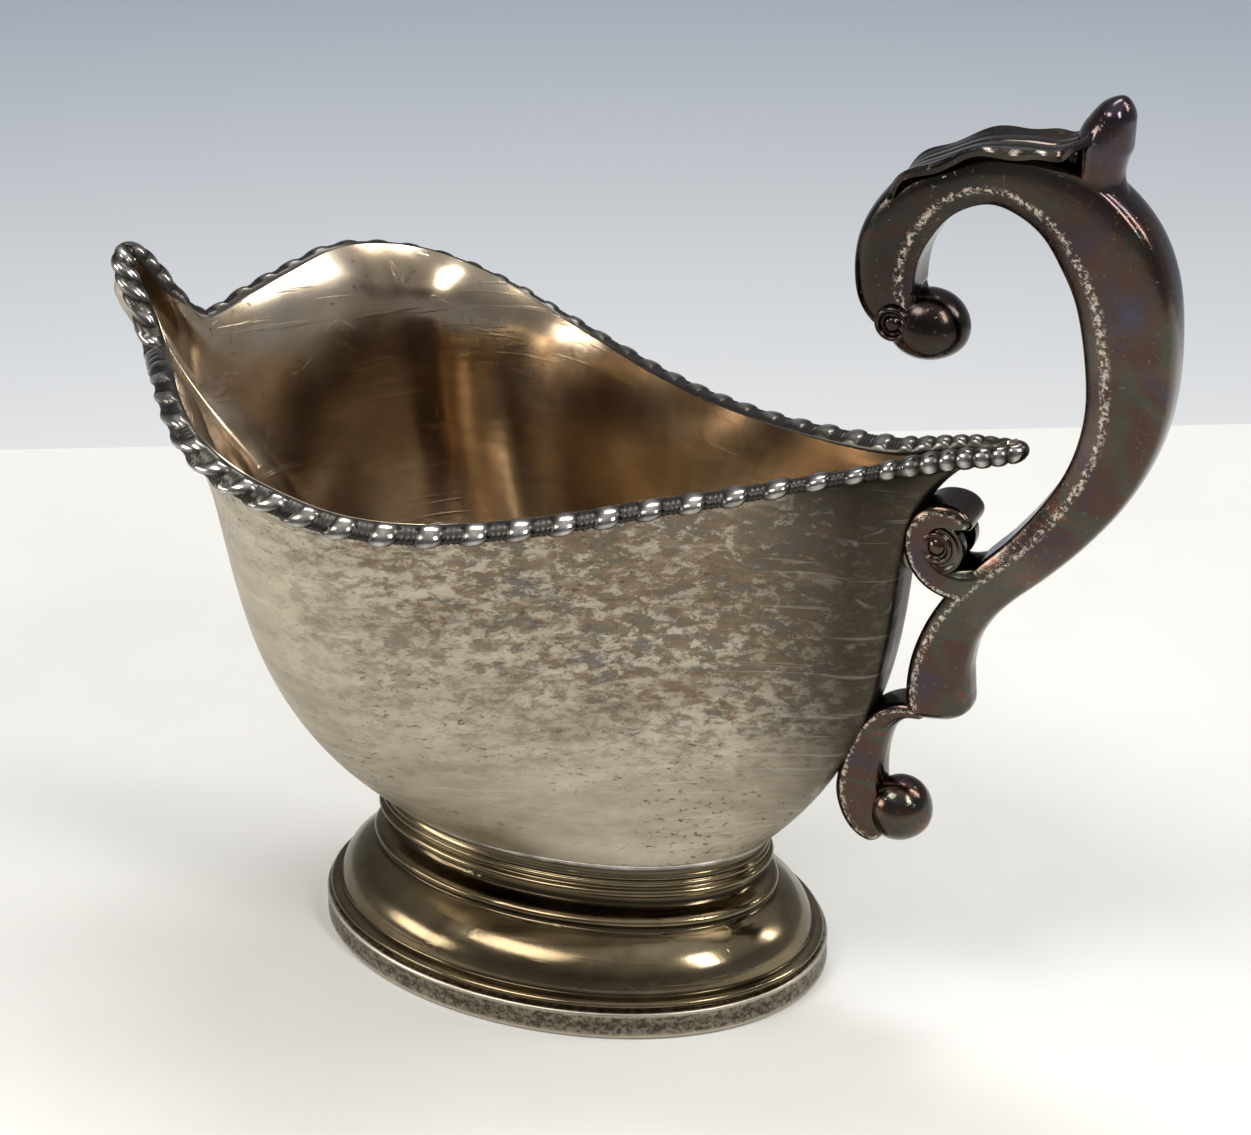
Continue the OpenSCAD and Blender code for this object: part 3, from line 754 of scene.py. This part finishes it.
def build_stage():
    n = Nodes("table_white")
    base = n.ramp(n.noise(9, 5, 0.6), [(0.3, (0.56, 0.56, 0.545)), (0.7, (0.62, 0.615, 0.595))])
    spots = n.ramp(n.noise(60, 6, 0.8, (1, 1, 1), 0.5), [(0.70, 0.0), (0.76, 0.5)])
    base = n.mix(spots, base, (0.62, 0.61, 0.60))
    mat = n.finish(base, 0.5, None, 0.0)
    mesh = bpy.data.meshes.new("table")
    mesh.from_pydata([(-1.5, -1.6, 0), (1.5, -1.6, 0), (*BACK[1], 0), (*BACK[0], 0)], [], [(0, 1, 2, 3)])
    mesh.materials.append(mat)
    obj = bpy.data.objects.new("table", mesh)
    bpy.context.scene.collection.objects.link(obj)


def area(name, place, target, size, power, colour=(1, 1, 1)):
    data = bpy.data.lights.new(name, "AREA")
    data.shape = "RECTANGLE"
    data.size, data.size_y = size
    data.energy = power
    data.color = colour
    obj = bpy.data.objects.new(name, data)
    obj.location = place
    obj.rotation_euler = (Vector(target) - Vector(place)).to_track_quat("-Z", "Y").to_euler()
    bpy.context.scene.collection.objects.link(obj)


def build_light():
    world = bpy.data.worlds.new("studio")
    world.use_nodes = True
    t = world.node_tree
    bg = t.nodes["Background"]
    coord = t.nodes.new("ShaderNodeTexCoord")
    sep = t.nodes.new("ShaderNodeSeparateXYZ")
    ramp = t.nodes.new("ShaderNodeValToRGB")
    remap = t.nodes.new("ShaderNodeMapRange")
    remap.inputs["From Min"].default_value = -1
    remap.inputs["From Max"].default_value = 1
    t.links.new(coord.outputs["Generated"], sep.inputs[0])
    t.links.new(sep.outputs[2], remap.inputs["Value"])
    t.links.new(remap.outputs[0], ramp.inputs[0])
    t.links.new(ramp.outputs[0], bg.inputs[0])
    el = ramp.color_ramp.elements
    stops = [(0.0, (0.8, 0.8, 0.8)), (0.293, (0.78, 0.79, 0.80)), (0.355, (0.36, 0.40, 0.46)),
             (0.5, (0.34, 0.35, 0.37)), (0.72, (0.22, 0.22, 0.23)), (0.9, (0.55, 0.55, 0.54)),
             (1.0, (0.9, 0.9, 0.88))]
    while len(el) < len(stops):
        el.new(0.5)
    for e, (pos, c) in zip(el, stops):
        e.position = pos
        e.color = (*c, 1)
    bg.inputs[1].default_value = 1.0
    bpy.context.scene.world = world
    area("key", (-0.35, -0.55, 0.95), (0, 0, 0.07), (0.45, 0.30), 5.5, (1, 0.97, 0.92))
    area("strip", (0.62, -0.34, 0.72), (0.03, 0, 0.09), (0.14, 0.42), 4.2, (1, 0.98, 0.94))
    area("left", (-0.80, -0.55, 0.34), (0, 0, 0.07), (0.40, 0.26), 4.0, (1, 0.97, 0.92))
    area("back", (0.75, 0.35, 0.75), (0.05, 0, 0.1), (0.12, 0.6), 4.5, (1, 0.98, 0.95))
    area("ceiling", (-0.1, 0.35, 1.1), (0, 0, 0.05), (0.5, 0.25), 5)


def build_camera():
    data = bpy.data.cameras.new("camera")
    data.sensor_width = 36
    data.lens = 97.1
    data.clip_start = 0.01
    cam = bpy.data.objects.new("camera", data)
    cam.location = Vector((206.7, -462.5, 326.5)) * MM
    look = Vector((9.8, 0, 73.0)) * MM - cam.location
    cam.rotation_euler = look.to_track_quat("-Z", "Y").to_euler()
    bpy.context.scene.collection.objects.link(cam)
    bpy.context.scene.camera = cam


build_stage()
build_light()
build_camera()
bpy.context.scene.view_settings.view_transform = "Standard"
